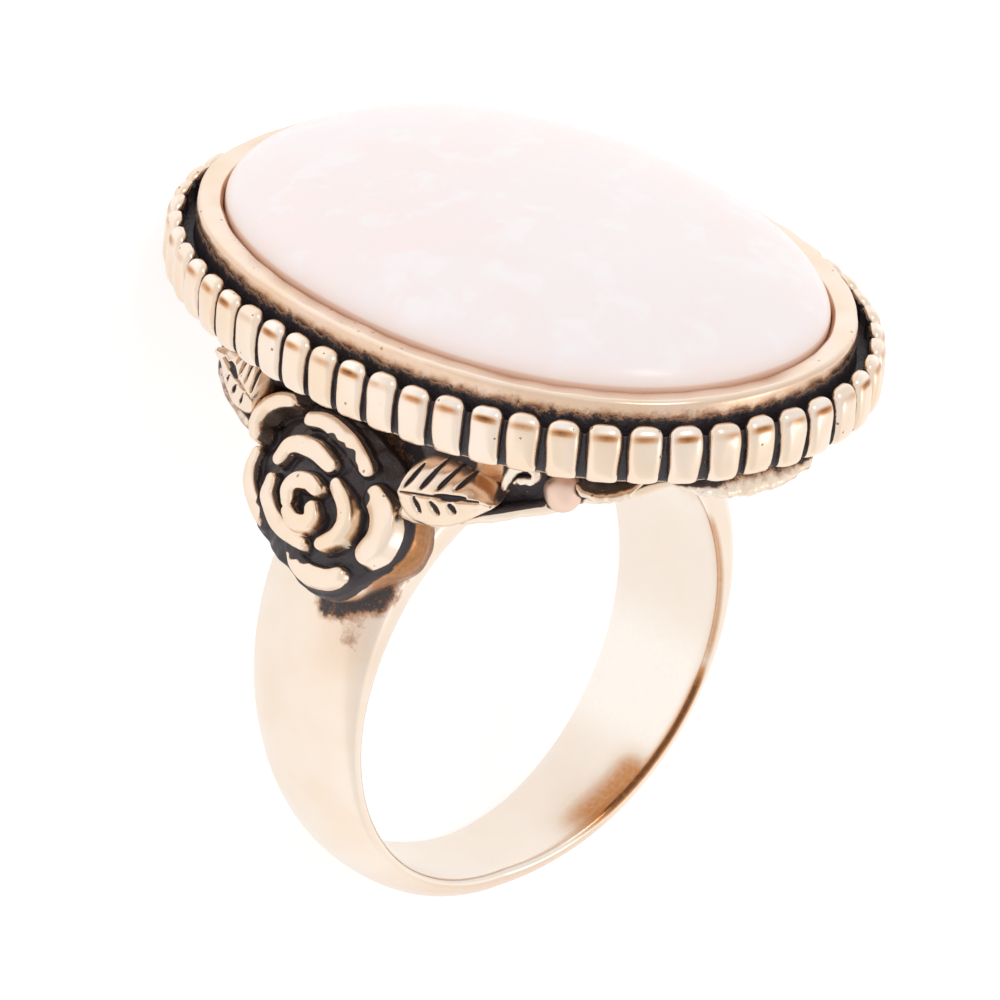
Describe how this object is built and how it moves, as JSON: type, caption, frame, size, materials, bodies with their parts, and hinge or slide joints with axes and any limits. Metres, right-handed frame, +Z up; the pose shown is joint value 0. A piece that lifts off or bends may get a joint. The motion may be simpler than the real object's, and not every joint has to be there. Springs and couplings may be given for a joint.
{
  "type": "opal ring",
  "caption": "Finger ring with a large oval opal cabochon in a ribbed bezel border, with roses and leaves on the shoulders, lying on its side.",
  "frame": {"origin": "on the floor under the middle of the lying ring", "axes": "+Z up from the floor, +X across the finger from one shoulder's rose towards the other, +Y from the stone's side of the lying ring towards the palm's side"},
  "size_m": [0.0224, 0.029, 0.026],
  "materials": {
    "rose_gold": "satin and polished, blackened in the recesses",
    "opal": "polished, milky"
  },
  "bodies": {
    "root": {"ring_metal": "rose_gold", "opal": "opal"}
  },
  "joints": []
}
